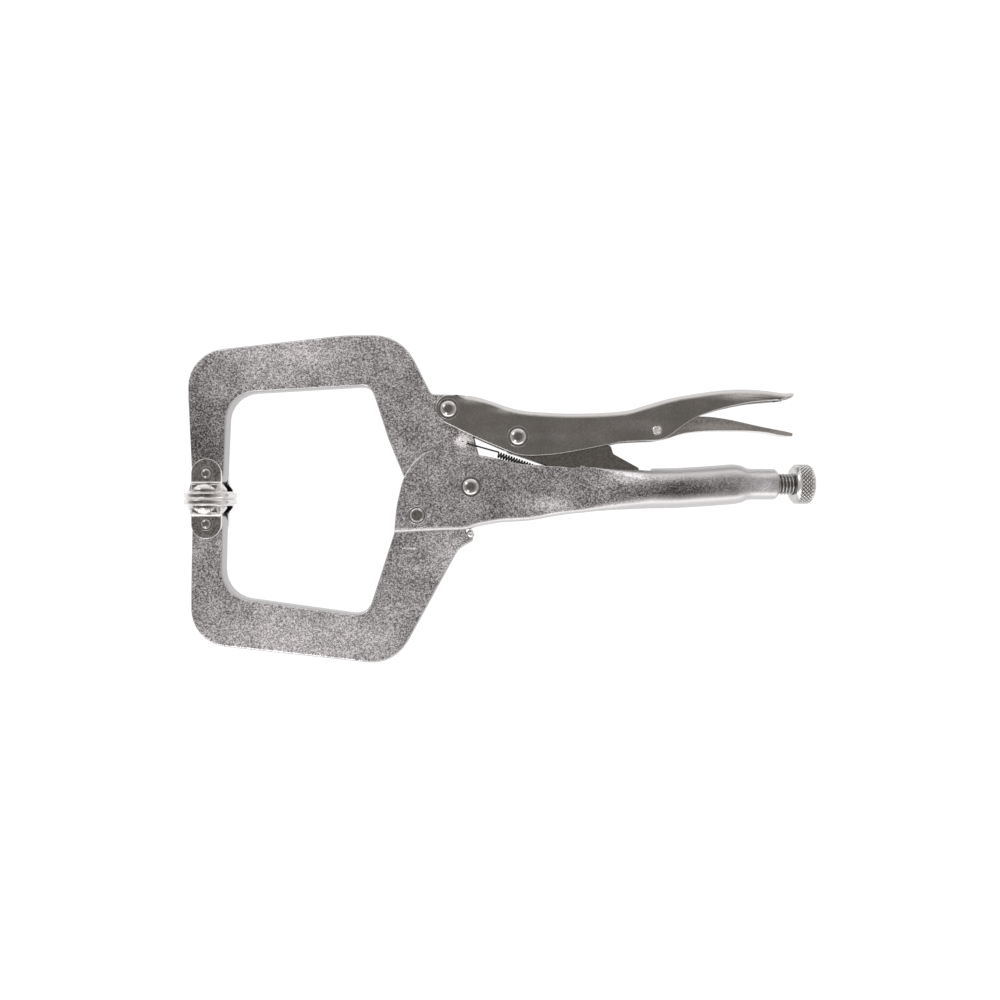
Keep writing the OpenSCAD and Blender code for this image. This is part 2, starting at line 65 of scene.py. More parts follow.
def mesh_object(name, points, faces, smooth=True):
    """A mesh of points in millimetres and faces, given as lists of arrays whose rows are corners.
    It is turned so that its volume, which has the sign of the sum of a . (b x c) over the
    triangles of each face, is positive."""
    points = np.asarray(points, float) * mm
    faces = [np.asarray(part, np.int32) for part in faces]
    volume = 0.0
    for part in faces:
        corner = points[part]
        for k in range(1, part.shape[1] - 1):
            volume += np.einsum("ij,ij->", corner[:, 0], np.cross(corner[:, k], corner[:, k + 1]))
    turn = -1 if volume < 0 else 1
    mesh = bpy.data.meshes.new(name)
    mesh.from_pydata(points, [], [face for part in faces for face in part[:, ::turn].tolist()])
    mesh.polygons.foreach_set("use_smooth", np.full(len(mesh.polygons), smooth))
    made = bpy.data.objects.new(name, mesh)
    bpy.context.scene.collection.objects.link(made)
    return made


def finished_copy(node, name, edge, crease, plain=None):
    """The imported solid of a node, with the corners of its loose triangles joined, triangles of
    one plane made one face, edges sharper than crease degrees rounded by edge millimetres, and
    the rest smooth. Edges with their middle in plain (low x, y, then high x, y in millimetres
    from the jaw pivot) stay sharp."""
    steps_per_mm, one_plane, bevel_steps = 1e4, math.radians(0.4), 3
    cad = frame["nodes"][node].data
    points = np.empty(len(cad.vertices) * 3)
    cad.vertices.foreach_get("co", points)
    points = points.reshape(-1, 3) / mm
    cad.calc_loop_triangles()
    corners = np.empty(len(cad.loop_triangles) * 3, np.int32)
    cad.loop_triangles.foreach_get("vertices", corners)
    rounded = np.round(points * steps_per_mm)
    _, first, joined = np.unique(rounded, axis=0, return_index=True, return_inverse=True)
    faces = joined.reshape(-1)[corners.reshape(-1, 3)]
    whole = (np.diff(np.sort(faces, axis=1), axis=1) > 0).all(axis=1)
    made = mesh_object(name, points[first], [faces[whole]])
    flat = bmesh.new()
    flat.from_mesh(made.data)
    bmesh.ops.dissolve_limit(flat, angle_limit=one_plane, verts=flat.verts, edges=flat.edges)
    flat.to_mesh(made.data)
    flat.free()
    made.data.polygons.foreach_set("use_smooth", np.ones(len(made.data.polygons), bool))
    made.data.set_sharp_from_angle(angle=math.radians(crease))
    if edge:
        count = len(made.data.edges)
        sharp = np.empty(count, bool)
        made.data.attributes["sharp_edge"].data.foreach_get("value", sharp)
        if plain:
            ends, place = np.empty(count * 2, np.int32), np.empty(len(made.data.vertices) * 3)
            made.data.edges.foreach_get("vertices", ends)
            made.data.vertices.foreach_get("co", place)
            middle = place.reshape(-1, 3)[ends.reshape(-1, 2)].mean(axis=1) / mm - jaw_pivot
            sharp &= ~((middle[:, :2] > plain[:2]) & (middle[:, :2] < plain[2:])).all(axis=1)
        weights = made.data.attributes.new("bevel_weight_edge", "FLOAT", "EDGE")
        weights.data.foreach_set("value", sharp.astype(np.float32))
        bevel = made.modifiers.new("rounded edge", "BEVEL")
        bevel.width, bevel.segments, bevel.limit_method = edge * mm, bevel_steps, "WEIGHT"
        bevel.use_clamp_overlap = False
    even = made.modifiers.new("even shading", "WEIGHTED_NORMAL")
    even.keep_sharp = True
    return made


def add(tree, kind, **given):
    """One node of a shader tree. _0 or _1 names an input by its place, a capital an input by its
    name with _ for a space, the rest are properties. A socket is linked and a value is set."""
    made = tree.nodes.new("ShaderNode" + kind)
    for name, value in given.items():
        if name.islower():
            setattr(made, name, value)
            continue
        socket = made.inputs[int(name[1:])] if name[1:].isdigit() else made.inputs[name.replace("_", " ")]
        if isinstance(value, bpy.types.NodeSocket):
            tree.links.new(value, socket)
        else:
            socket.default_value = value
    return made


def group(name, inputs, outputs):
    """An empty shader group with number inputs at their usual values and number outputs."""
    tree = bpy.data.node_groups.new(name, "ShaderNodeTree")
    for key, value in inputs.items():
        tree.interface.new_socket(key, in_out="INPUT", socket_type="NodeSocketFloat").default_value = value
    for key in outputs:
        tree.interface.new_socket(key, in_out="OUTPUT", socket_type="NodeSocketFloat")
    return tree, tree.nodes.new("NodeGroupInput").outputs, tree.nodes.new("NodeGroupOutput").inputs


# Plated grain: cells of about Grain millimetres, each with its own tone, under a finer noise and
# over slow patches of Patch millimetres. Tone is about 0.5 on average, Height is the fine noise.
grain, given, put = group("plated grain", {"Grain": 0.5, "Patch": 14, "Speckle": 1, "Patches": 0.6},
                          ["Tone", "Height"])
fine_share = 0.6
place = add(grain, "TexCoord").outputs["Object"]
cell_scale = add(grain, "Math", operation="DIVIDE", _0=1 / mm, _1=given["Grain"]).outputs[0]
slow_scale = add(grain, "Math", operation="DIVIDE", _0=1 / mm, _1=given["Patch"]).outputs[0]
cells = add(grain, "TexVoronoi", Vector=place, Scale=cell_scale).outputs["Color"]
cell = add(grain, "SeparateColor", Color=cells).outputs["Red"]
fine = add(grain, "TexNoise", Vector=place, Scale=cell_scale, Detail=3, Roughness=0.7).outputs[0]
slow = add(grain, "TexNoise", Vector=place, Scale=slow_scale, Detail=3, Roughness=0.55).outputs[0]
both = add(grain, "Math", operation="MULTIPLY_ADD", _0=fine, _1=fine_share, _2=cell).outputs[0]
speckle = add(grain, "Math", operation="SUBTRACT", _0=both, _1=0.5 + 0.5 * fine_share).outputs[0]
speckle = add(grain, "Math", operation="MULTIPLY", _0=speckle, _1=given["Speckle"]).outputs[0]
patches = add(grain, "Math", operation="SUBTRACT", _0=slow, _1=0.5).outputs[0]
patches = add(grain, "Math", operation="MULTIPLY_ADD", _0=patches, _1=given["Patches"], _2=0.5).outputs[0]
grain.links.new(add(grain, "Math", operation="ADD", _0=speckle, _1=patches).outputs[0], put["Tone"])
grain.links.new(fine, put["Height"])

# Scuffed edges and painted sheen: Bare is 0 where a surface lies flat like the sheet,
# rises from the tilt whose cosine is Flat, and is 1 past the one of Turned. Its colour stands
# partly for scuffed plating on edges and partly for a painted highlight on folds, rims and side
# walls. The grain's Tone breaks its rim up a little.
scuff_and_sheen, given, put = group("rubbed edges", {"Tone": 0.5, "Flat": 0.97, "Turned": 0.75}, ["Bare"])
break_up = 0.04
lean = add(scuff_and_sheen, "SeparateXYZ", Vector=add(scuff_and_sheen, "TexCoord").outputs["Normal"]).outputs["Z"]
lean = add(scuff_and_sheen, "Math", operation="ABSOLUTE", _0=lean).outputs[0]
lean = add(scuff_and_sheen, "Math", operation="MULTIPLY_ADD", _0=given["Tone"], _1=break_up, _2=lean).outputs[0]
shown = add(scuff_and_sheen, "MapRange", Value=lean, From_Min=given["Flat"], From_Max=given["Turned"]).outputs[0]
scuff_and_sheen.links.new(shown, put["Bare"])


def blend_colour(tree, share, under, over):
    """under where share is 0 and over where it is 1, each a colour or the output of a node."""
    made = add(tree, "Mix", data_type="RGBA", Factor=share)
    for socket, value in zip([i for i in made.inputs if i.type == "RGBA"], (under, over)):
        if isinstance(value, bpy.types.NodeSocket):
            tree.links.new(value, socket)
        else:
            socket.default_value = (*value, 1)
    return next(o for o in made.outputs if o.type == "RGBA")


def plated(name, dark, light, rough, size, bump, speckle=1.0, patches=0.6,
           scuff_and_sheen_colour=None, groove_shade=None, spots=(), wane=None, skew=1.0):
    """A plated metal. Its colour goes from dark to light with the grain's tone, kept within 0 and
    1, to the power skew, and its roughness falls from rough by a third. size is the grain's and
    bump the depth of its relief, in millimetres; speckle and patches are their strengths.
    scuff_and_sheen_colour is the colour of faces turned from the flat: partly scuffed edges, partly
    a painted highlight on folds, rims and side walls. groove_shade is painted shade: the colour at
    the bottom of cut grooves (from the mesh's depth attribute). spots are mostly painted light and
    shade: ellipses (x, y, half width, half height, share) in millimetres from the jaw pivot, where
    tone changes by share at the middle, and by nothing at the rim, as 3 s^2 - 2 s^3. wane is (from
    x, to x, share), with x in millimetres from the frame's origin: relief and speckle fall to that share."""
    gloss_share, relief_strength = 0.67, 1
    m = bpy.data.materials.new(name)
    m.use_nodes = True
    tree = m.node_tree
    shader = tree.nodes["Principled BSDF"]
    shader.inputs["Metallic"].default_value = 1
    g = add(tree, "Group", node_tree=grain, Grain=size, Speckle=speckle, Patches=patches)
    tone, height = g.outputs["Tone"], g.outputs["Height"]
    if wane:
        where = add(tree, "SeparateXYZ", Vector=add(tree, "TexCoord").outputs["Object"]).outputs
        share = add(tree, "MapRange", Value=where["X"], From_Min=wane[0] * mm, From_Max=wane[1] * mm,
                    To_Min=1, To_Max=wane[2]).outputs[0]
        height = add(tree, "Math", operation="MULTIPLY", _0=height, _1=share).outputs[0]
        less = add(tree, "Math", operation="MULTIPLY", _0=share, _1=speckle).outputs[0]
        tree.links.new(less, g.inputs["Speckle"])
    # Painted light and shade: each spot lifts or lowers the tone within its ellipse.
    for x, y, wide, high, share in spots:
        middle = (*(jaw_pivot[:2] + [x, y]) * mm, 0)
        here = add(tree, "TexCoord").outputs["Object"]
        reach = add(tree, "VectorMath", operation="SUBTRACT", _0=here, _1=middle)
        reach = add(tree, "VectorMath", operation="MULTIPLY", _0=reach.outputs[0],
                    _1=(1 / (wide * mm), 1 / (high * mm), 0))
        reach = add(tree, "VectorMath", operation="LENGTH", _0=reach.outputs[0]).outputs["Value"]
        rise = add(tree, "MapRange", interpolation_type="SMOOTHSTEP", Value=reach, From_Min=1, From_Max=0,
                   To_Min=0, To_Max=share).outputs[0]
        tone = add(tree, "Math", operation="ADD", _0=tone, _1=rise).outputs[0]
    tone = add(tree, "Clamp", Value=tone).outputs[0]
    if skew != 1:
        tone = add(tree, "Math", operation="POWER", _0=tone, _1=skew).outputs[0]
    colour = blend_colour(tree, tone, dark, light)
    # Faces turned from the flat take the scuff_and_sheen colour: scuffed edges and a painted highlight.
    if scuff_and_sheen_colour:
        edges = add(tree, "Group", node_tree=scuff_and_sheen, Tone=tone)
        colour = blend_colour(tree, edges.outputs["Bare"], colour, scuff_and_sheen_colour)
    # Painted shade: the bottom of cut grooves is darkened by the mesh's depth.
    if groove_shade:
        depth = add(tree, "Attribute", attribute_name="depth").outputs["Fac"]
        colour = blend_colour(tree, depth, colour, groove_shade)
    tree.links.new(colour, shader.inputs["Base Color"])
    gloss = add(tree, "MapRange", Value=tone, To_Min=rough, To_Max=rough * gloss_share).outputs[0]
    tree.links.new(gloss, shader.inputs["Roughness"])
    relief = add(tree, "Bump", Height=height, Distance=bump * mm, Strength=relief_strength)
    tree.links.new(relief.outputs[0], shader.inputs["Normal"])
    return m


def dress(piece, material, body, node=None):
    """Gives a piece its material and the body it rides on, and hides the CAD node it stands for, if
    it has one."""
    piece.data.materials.clear()
    piece.data.materials.append(material)
    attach(piece, body)
    if node:
        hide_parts(node)


# Its spots are painted light and shade: the left arms darker, the upper and lower arms and a patch below the
# pivot lighter, and a painted highlight round the spring's eye. One is a thin light line on the fixed jaw.
forging_nickel = plated(
    "forging_nickel", dark=(0.05, 0.0465, 0.047), light=(0.95, 0.935, 0.98), rough=0.36, size=0.44,
    bump=0.02, speckle=0.62, patches=0.5, scuff_and_sheen_colour=(0.46, 0.45, 0.455), skew=1.8,
    spots=((-122, 20, 30, 46, -0.18), (-82, 62, 62, 26, 0.17), (-76, -70, 66, 28, 0.26),
           (-10, -30, 26, 22, 0.1), (-27, -27.5, 6, 0.7, 0.5), (-3.6, 20.2, 5.5, 4.5, 0.9)))
jaw_crease = 40
for node, body in (("moving_jaw", "upper_jaw"), ("fixed_jaw", "frame")):
    dress(finished_copy(node, node + "_forging", 0, jaw_crease), forging_nickel, body, node)

# ---- fixed handle -----------------------------------------------------------------------------
# One sheet of steel folded into a channel with flat cheeks and rolled into a round tube behind,
# necked down and tapped at its end for the adjusting screw, then nickel plated.

# Its spots are painted light and shade: painted highlights on the cheek, where the cheeks flare into the tube
# and near the tube's end, and painted shade along the tube.
handle_nickel = plated(
    "handle_nickel", dark=(0.05, 0.0465, 0.047), light=(0.84, 0.828, 0.87), rough=0.42, size=0.44,
    bump=0.02, speckle=0.66, patches=0.5, scuff_and_sheen_colour=(0.56, 0.55, 0.555), wane=(50, 110, 0.35), skew=1.8,
    spots=((36, -8, 18, 7, 0.36), (70, 5, 12, 6, 0.5), (130, 0, 13, 12, 0.2), (88, -2.5, 40, 7, -0.3)))
sheet_crease, handle_edge = 34, 0.6
# Round the small bump on the cheeks' rim, and behind it where the channel starts to close over,
# the edges are too short to be rounded and are left sharp.
round_bump = (43, 3, 62, 14)
dress(finished_copy("fixed_handle", "fixed_handle_channel", handle_edge, sheet_crease, round_bump),
      handle_nickel, "frame", "fixed_handle")

# ---- weld beads -------------------------------------------------------------------------------
# Two short beads of weld metal where the jaw's heel meets the folded back of the handle. They
# are plated over with the rest and stay lumpy and bright.


def grid_object(name, points, depth=None):
    """The surface through a grid of points: face i, j joins points i, j with i+1, j+1, and the
    last column is joined to the first. Points that coincide, as at a pole, become one, and the
    faces that this narrows become triangles or vanish. depth is a grid of numbers from 0 to 1
    that is kept on the points for the painted shade in cut grooves."""
    steps_per_mm = 1e5
    nu, nv = points.shape[:2]
    i, j = np.meshgrid(np.arange(nu - 1), np.arange(nv), indexing="ij")
    i, j = i.ravel(), j.ravel()
    k, l = i + 1, (j + 1) % nv
    flat = points.reshape(-1, 3)
    rounded = np.round(flat * steps_per_mm)
    _, first, joined = np.unique(rounded, axis=0, return_index=True, return_inverse=True)
    quads = joined.reshape(-1)[np.stack([i * nv + j, k * nv + j, k * nv + l, i * nv + l], axis=1)]
    equal = quads == np.roll(quads, -1, axis=1)
    parts = [quads[~equal.any(axis=1)]]
    for corner in range(4):
        narrow = quads[equal[:, corner] & (equal.sum(axis=1) == 1)]
        parts.append(np.delete(narrow, corner, axis=1))
    made = mesh_object(name, flat[first], [part for part in parts if len(part)])
    if depth is not None:
        kept = made.data.attributes.new("depth", "FLOAT", "POINT")
        kept.data.foreach_set("value", np.asarray(depth, np.float32).reshape(-1)[first])
    return made


def turned(name, centre, axis, profile, sides, shape=None):
    """A surface of revolution: the point at (r, h) of the profile goes to centre + h * axis +
    r * (cos t * u + sin t * v). shape may cut into r, as a function of the grids of t, h and r,
    and its cut as a share of the deepest one is kept as the mesh's depth."""
    axis = np.asarray(axis, float)
    u = np.array([0.0, 1.0, 0.0]) if abs(axis[1]) < 0.9 else np.array([1.0, 0.0, 0.0])
    v = np.cross(axis, u)
    profile = np.asarray(profile, float)
    h, t = np.meshgrid(profile[:, 1], np.arange(sides) * 2 * math.pi / sides, indexing="ij")
    r = np.repeat(profile[:, :1], sides, axis=1)
    depth = None
    if shape is not None:
        cut = np.where(r > 0, shape(t, h, r), 0)
        depth, r = np.clip(cut / min(cut.min(), -0.1), 0, 1), r + cut
    across = np.cos(t)[..., None] * u + np.sin(t)[..., None] * v
    return grid_object(name, np.asarray(centre) + h[..., None] * axis + r[..., None] * across, depth)


def centre_of(node):
    """Middle of a node's box, in millimetres, and half of its size."""
    low, high = (np.array(c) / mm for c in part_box(node))
    return (low + high) / 2, (high - low) / 2


weld_metal = plated("weld_metal", dark=(0.3, 0.292, 0.286), light=(0.9, 0.89, 0.9), rough=0.28,
                    size=0.9, bump=0.06)
bead_at, bead_half = centre_of("weld_beads")
bead_r, lump = bead_half[0], 0.16
core = bead_half[2] - bead_r
quarter = np.linspace(0, math.pi / 2, 12)
bead = np.concatenate([np.stack([bead_r * np.sin(quarter), -core - bead_r * np.cos(quarter)], 1),
                       np.stack([bead_r * np.cos(quarter), core + bead_r * np.sin(quarter)], 1)])
bead[0, 0] = bead[-1, 0] = 0


def lumpy(t, h, r):
    """A cut of lump * r / bead_r * (1 + sin(3 t + 1.3 h) cos(2 t - h)), so none at the poles."""
    return -lump * r / bead_r * (1 + np.sin(3 * t + 1.3 * h) * np.cos(2 * t - h))


dress(turned("weld_beads_lumpy", bead_at, (0, 0, 1), bead, sides=40, shape=lumpy),
      weld_metal, "frame", "weld_beads")

# ---- rivets -----------------------------------------------------------------------------------
# Steel rivets set through the cheeks and the pads' ears, with bright domed heads in coined rings.
# One is upset into a ring round a hollow where it holds the fixed jaw, and the pin is flush.


def eased(points, steps, short):
    """A profile through the given points with each inner corner replaced by a quadratic curve
    (1-s)^2 a + 2 s (1-s) b + s^2 c that starts and ends short millimetres from the corner, or
    at 0.45 of the nearer side where that is less."""
    p = np.asarray(points, float)
    ahead, back = p[2:] - p[1:-1], p[:-2] - p[1:-1]
    ahead_long, back_long = np.linalg.norm(ahead, axis=1), np.linalg.norm(back, axis=1)
    reach = np.minimum(short, 0.45 * np.minimum(ahead_long, back_long))[:, None]
    a = p[1:-1] + back / back_long[:, None] * reach
    c = p[1:-1] + ahead / ahead_long[:, None] * reach
    s = np.linspace(0, 1, steps)[None, :, None]
    inner = (1 - s) ** 2 * a[:, None] + 2 * s * (1 - s) * p[1:-1][:, None] + s ** 2 * c[:, None]
    return np.concatenate([p[:1], inner.reshape(-1, 2), p[-1:]])


def headed(name, node, body, material, profile, sides):
    """A rivet whose profile of (r, h) runs from the top of its head to its middle plane, where
    h is 0, and comes back mirrored to the other head."""
    whole = np.concatenate([profile, (profile * [1, -1])[::-1][1:]])
    dress(turned(name, centre_of(node)[0], (0, 0, 1), whole, sides),
          material, body, node)


# Its dark colour is painted shade: the dark room mirrored in the middle of the domes. The light
# scuff_and_sheen colour on their tilted flanks is partly a painted highlight.
rivet_nickel = plated("rivet_nickel", dark=(0.09, 0.085, 0.082), light=(0.17, 0.165, 0.163), rough=0.16,
                      size=0.9, bump=0.005, speckle=0.8, scuff_and_sheen_colour=(0.6, 0.59, 0.59))
# The height of the head and the radius of the shank, on the large rivets and on the pads'.
large, small = (1.7, 3.0), (0.9, 1.8)
domed = {"jaw_pivot_rivet": ("frame", *large), "lever_pivot_rivet": ("lever", *large),
         "link_pivot_rivet": ("lever", *large), "upper_pad_rivet": ("upper_jaw", *small),
         "lower_pad_rivet": ("frame", *small)}
ball_share, ball_step = 0.85, 0.08
for node, (body, head_h, shank_r) in domed.items():
    half = centre_of(node)[1]
    head_r, top = half[0], half[2]
    seat = top - head_h
    ball_r, ball_h = head_r * ball_share, head_h - ball_step
    bow = (ball_r ** 2 + ball_h ** 2) / (2 * ball_h)
    lean = np.linspace(0, math.asin(ball_r / bow), 12)[:, None]
    ball = np.concatenate([bow * np.sin(lean), top - bow * (1 - np.cos(lean))], 1)
    flange = eased([ball[-1], (ball_r + ball_step, seat + 0.12), (head_r + 0.25, seat + 0.22),
                    (head_r + 0.45, seat + 0.12), (head_r + 0.5, seat), (shank_r, seat)], steps=4, short=0.1)
    profile = np.concatenate([ball[:-1], flange, [[shank_r, 0]]])
    headed(node + "_set", node, body, rivet_nickel, profile, sides=64)

half = centre_of("fixed_jaw_rivet")[1]
head_r, top, grip, shank_r = half[0], half[2], half[2] - 0.95, 3.0
hollow = [(0, grip + 0.18), (1.2, grip + 0.1), (2.5, grip + 0.22), (3.05, top - 0.12), (3.5, top),
          (head_r - 0.35, top - 0.12), (head_r, grip + 0.3), (head_r, grip), (shank_r, grip), (shank_r, 0)]
headed("fixed_jaw_rivet_upset", "fixed_jaw_rivet", "frame", rivet_nickel,
       eased(hollow, steps=5, short=0.3), sides=64)

half = centre_of("release_pin")[1]
pin_r, top, rim = half[0], half[2], 0.3
dished = [(0, top - 0.16), (0.9, top - 0.14), (1.25, top), (pin_r - rim, top), (pin_r, top - rim), (pin_r, 0)]
headed("release_pin_headed", "release_pin", "lever", weld_metal,
       eased(dished, steps=4, short=0.2), sides=48)

# ---- lever handle -----------------------------------------------------------------------------
# A smooth stamped channel, open below, that swings on the jaw and closes on the hand. It is not
# blasted, so it is almost without grain. Its dark colour is painted shade for the dark room that
# the smooth plating mirrors, and the light bands along its folds, top and tail are painted
# highlights.

lever_nickel = plated(
    "lever_nickel", dark=(0.09, 0.084, 0.079), light=(0.6, 0.59, 0.585), rough=0.3, size=0.5,
    bump=0.008, speckle=0.1, patches=0.3, scuff_and_sheen_colour=(0.56, 0.55, 0.55), skew=3.0,
    spots=((2, 38.5, 12, 3.2, 0.36), (17, 34, 12, 3, 0.32), (122, 40.5, 28, 3.4, 0.42),
           (146, 38, 9, 6, 0.4), (30, 22, 40, 3, 0.06), (76, 27, 22, 4, 0.07)))
lever_edge = 0.5
dress(finished_copy("lever_handle", "lever_handle_channel", lever_edge, sheet_crease),
      lever_nickel, "lever", "lever_handle")

# ---- toggle link and release lever -------------------------------------------------------------
# The link is a flat blanked plate between the lever and the screw. The release lever is a small
# pressed channel inside the lever's tail, pinned so that its nose pushes the link off centre.

link_steel = plated("link_steel", dark=(0.0759, 0.0704, 0.0662), light=(0.145, 0.138, 0.131), rough=0.34,
                    size=0.5, bump=0.008, speckle=0.8)
# The release lever's spots are painted highlights: a light streak along it and a pale tail end.
release_steel = plated("release_steel", dark=(0.0897, 0.0842, 0.0794), light=(0.317, 0.307, 0.3), rough=0.3,
                       size=0.5, bump=0.008, speckle=0.5, scuff_and_sheen_colour=(0.7, 0.69, 0.69),
                       spots=((112, 26.5, 24, 3.2, 0.5), (140, 23, 14, 6, 0.8)))
link_edge, release_edge = 0.25, 0.3
dress(finished_copy("toggle_link", "toggle_link_plate", link_edge, sheet_crease),
      link_steel, "link", "toggle_link")
dress(finished_copy("release_lever", "release_lever_channel", release_edge, sheet_crease),
      release_steel, "release", "release_lever")

# ---- jaw spring -------------------------------------------------------------------------------
# A tension spring of dark spring wire, hooked through a bright-rimmed eye in the moving jaw and
# into a tab of the handle. It is drawn out while the jaws are closed, so light shows between its
# turns.


def wire_object(name, path, side, radius, sides):
    """A round wire: at each point of the path a ring of that radius, across the path's tangent,
    starting from the given side direction less its part along the tangent, with closed ends."""
    tangent = np.gradient(path, axis=0)
    tangent /= np.linalg.norm(tangent, axis=1)[:, None]
    n = side - (side * tangent).sum(axis=1)[:, None] * tangent
    n /= np.linalg.norm(n, axis=1)[:, None]
    b = np.cross(tangent, n)
    t = np.arange(sides) * 2 * math.pi / sides
    c, s = np.cos(t)[None, :, None], np.sin(t)[None, :, None]
    rings = path[:, None] + radius * (c * n[:, None] + s * b[:, None])
    ends = [np.repeat(path[k][None, None], sides, axis=1) for k in (0, -1)]
    return grid_object(name, np.concatenate([ends[0], rings, ends[1]]))


eye_plate = plated("eye_plate", dark=(0.82, 0.812, 0.81), light=(0.96, 0.952, 0.955), rough=0.22,
                   size=0.5, bump=0.004)
hook = jaw_pivot + [-3.6, 20.2, 0]
tab = jaw_pivot + [50, 0.8, 0]
jaw_face = 4.0
eye = eased([(0.3, 0), (0.45, 0.12), (1.2, 0.3), (1.75, 0.22), (1.95, 0)], steps=5, short=0.2)
eye = np.concatenate([eye, [[1.2, -0.3], [0.3, 0]]])
for letter, side in (("a", 1), ("b", -1)):
    rim = turned("spring_eye_rim_" + letter, hook + [0, 0, side * jaw_face], (0, 0, side), eye, sides=40)
    dress(rim, eye_plate, "upper_jaw")

# The wire's path: s runs from hook to tab, z is its height, and off is its distance from the
# straight line between them, wound round it through turn. It grows with s to the power 1.2
# along the front leg, is coil_r in the coil, and dies out evenly behind it.
spring_wire = plated("spring_wire", dark=(0.0414, 0.0386, 0.0366), light=(0.138, 0.131, 0.124), rough=0.36,
                     size=0.5, bump=0.004)
wire_r, coil_r, coil_pitch, bend_r, hook_past = 0.36, 1.15, 1.25, 0.5, 1.0
reach = float(np.linalg.norm(tab - hook))
along = (tab - hook) / reach
across = np.array([-along[1], along[0], 0])
up = np.array([0.0, 0.0, 1.0])
coil_from, coil_to, fade = 16.5, reach - 5.5, 4.0
turns = round((coil_to - coil_from) / coil_pitch)
leg_steps, coil_steps, tail_steps = 10, turns * 18, 6
bend = np.linspace(0, math.pi / 2, 7)
s = np.concatenate([[0, 0], bend_r * (1 - np.cos(bend)), np.linspace(1.2, coil_from, leg_steps),
                    np.linspace(coil_from + 0.01, coil_to, coil_steps),
                    np.linspace(coil_to + 0.2, reach + hook_past, tail_steps),
                    reach + hook_past + bend_r * np.sin(bend), np.full(2, reach + hook_past + bend_r)])
z = np.concatenate([[-3.6, -1.5], bend_r * (np.sin(bend) - 1), np.zeros(leg_steps + coil_steps + tail_steps),
                    bend_r * (np.cos(bend) - 1), [-1.2, -2.0]])
turn = np.clip((s - coil_from) / (coil_to - coil_from), 0, 1) * turns * 2 * math.pi
off = coil_r * np.clip(s / coil_from, 0, 1) ** 1.2 * np.clip(1 - (s - coil_to) / fade, 0, 1)
radial = np.cos(turn)[:, None] * across + np.sin(turn)[:, None] * up
path = hook + s[:, None] * along + off[:, None] * radial + z[:, None] * up
spring = wire_object("jaw_spring_wound", path, radial, wire_r, sides=10)
spring.data.materials.append(spring_wire)
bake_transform(spring)
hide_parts("jaw_spring")

# ---- swivel pads ------------------------------------------------------------------------------
# Each pad is turned from bar: a round face with a rim, a waisted collar, and two flats milled
# down to ears that straddle the jaw's tip and turn on a small rivet.

# The pads' light scuff_and_sheen colour on their turned faces is partly a painted highlight.
pad_plate = plated("pad_plate", dark=(0.069, 0.0649, 0.0621), light=(0.235, 0.228, 0.224), rough=0.26,
                   size=0.5, bump=0.01, speckle=1.1, scuff_and_sheen_colour=(0.76, 0.75, 0.75))
pad_edge, pad_crease = 0.4, 30
for node, body in (("upper_pad", "top_pad"), ("lower_pad", "bottom_pad")):
    dress(finished_copy(node, node + "_turned", pad_edge, pad_crease), pad_plate, body, node)

# ---- adjusting screw and knob ------------------------------------------------------------------
# A plated screw with a plain nose that the link bears on. The knob on its end is turned and
# diamond knurled, with a polished face towards the handle and a rounded free end.

# groove_shade is painted shade in the thread's groove.
screw_plate = plated("screw_plate", dark=(0.29, 0.283, 0.276), light=(0.517, 0.511, 0.511), rough=0.24,
                     size=0.5, bump=0.006, groove_shade=(0.12, 0.112, 0.106))
thread_pitch, thread_deep, rows_per_turn = 1.5, 0.78, 12
nose_r, nose_edge, nose_long, thread_from = 3.2, 0.6, 12.4, 13.6
screw_at, screw_half = centre_of("adjusting_screw")
x0, x1 = screw_at[0] - screw_half[0], screw_at[0] + screw_half[0]
stem_r = screw_half[1]
thread_x = np.linspace(x0 + thread_from, x1, int((x1 - x0 - thread_from) / thread_pitch * rows_per_turn))
stem = np.concatenate([[[0, x0], [nose_r - nose_edge, x0], [nose_r, x0 + 0.7], [nose_r, x0 + nose_long]],
                       np.stack([np.full(len(thread_x), stem_r), thread_x], 1), [[0, x1]]])


def thread(t, x, r):
    """A helical V groove, on the stem but not on its nose. wave is 1 where x / pitch - t / 2 pi is
    a whole number and falls evenly to 0 half a turn away, and the cut is thread_deep times
    1.3 wave - 0.22, kept within 0 and 1, which leaves a narrow flat crest and root."""
    wave = np.abs(2 * np.mod(x / thread_pitch - t / (2 * math.pi), 1) - 1)
    return -thread_deep * (r > nose_r + 0.8) * np.clip(1.3 * wave - 0.22, 0, 1)


dress(turned("adjusting_screw_threaded", [0, *screw_at[1:]], (1, 0, 0), stem, sides=48, shape=thread),
      screw_plate, "knob", "adjusting_screw")

# groove_shade is painted shade in the knurl's grooves.
knob_plate = plated("knob_plate", dark=(0.42, 0.412, 0.408), light=(0.7, 0.692, 0.692), rough=0.24,
                    size=0.5, bump=0.006, groove_shade=(0.05, 0.047, 0.045))
knurl_count, knurl_pitch, knurl_deep, knurl_run_out = 32, 1.65, 0.5, 0.5
knob_at, knob_half = centre_of("screw_knob")
k0, k1, knob_r = knob_at[0] - knob_half[0], knob_at[0] + knob_half[0], knob_half[1]
shoulder_r, seat_deep, front_edge, band_rows = 2.4, 5.2, 1.3, 56
socket_r = stem_r + 0.05
front = eased([(0, k0 + seat_deep), (socket_r, k0 + seat_deep), (socket_r, k0 + 0.05), (stem_r + 0.3, k0),
               (knob_r - front_edge, k0), (knob_r, k0 + front_edge)], steps=5, short=0.25)
band = np.linspace(k0 + 1.5, k1 - 2.5, band_rows)
shoulder = np.linspace(0, math.pi / 2, 16)
